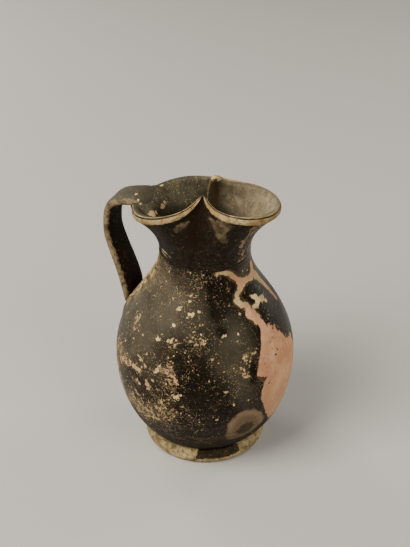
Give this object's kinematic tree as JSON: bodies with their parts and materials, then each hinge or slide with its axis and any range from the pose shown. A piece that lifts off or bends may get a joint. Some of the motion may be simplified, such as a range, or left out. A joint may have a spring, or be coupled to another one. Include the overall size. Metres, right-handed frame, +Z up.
{
  "type": "oinochoe",
  "caption": "Small fired-clay wine jug with a pinched trefoil mouth, egg-shaped body, strap handle and ring foot.",
  "frame": {"origin": "on the surface that the jug stands on, below the middle of its outline", "axes": "+Z up, spout towards +X, handle on the -X side"},
  "size_m": [0.086, 0.079, 0.1281],
  "materials": {
    "black_gloss": "worn black gloss over orange clay",
    "bare_clay": "matt, worn through to the clay",
    "slip_line": "matt, rubbed along its ridge"
  },
  "bodies": {
    "root": {"foot_ring": "bare_clay", "body": "black_gloss", "neck_joint_ring": "slip_line", "neck_and_mouth": "black_gloss", "handle": "black_gloss"}
  },
  "joints": []
}
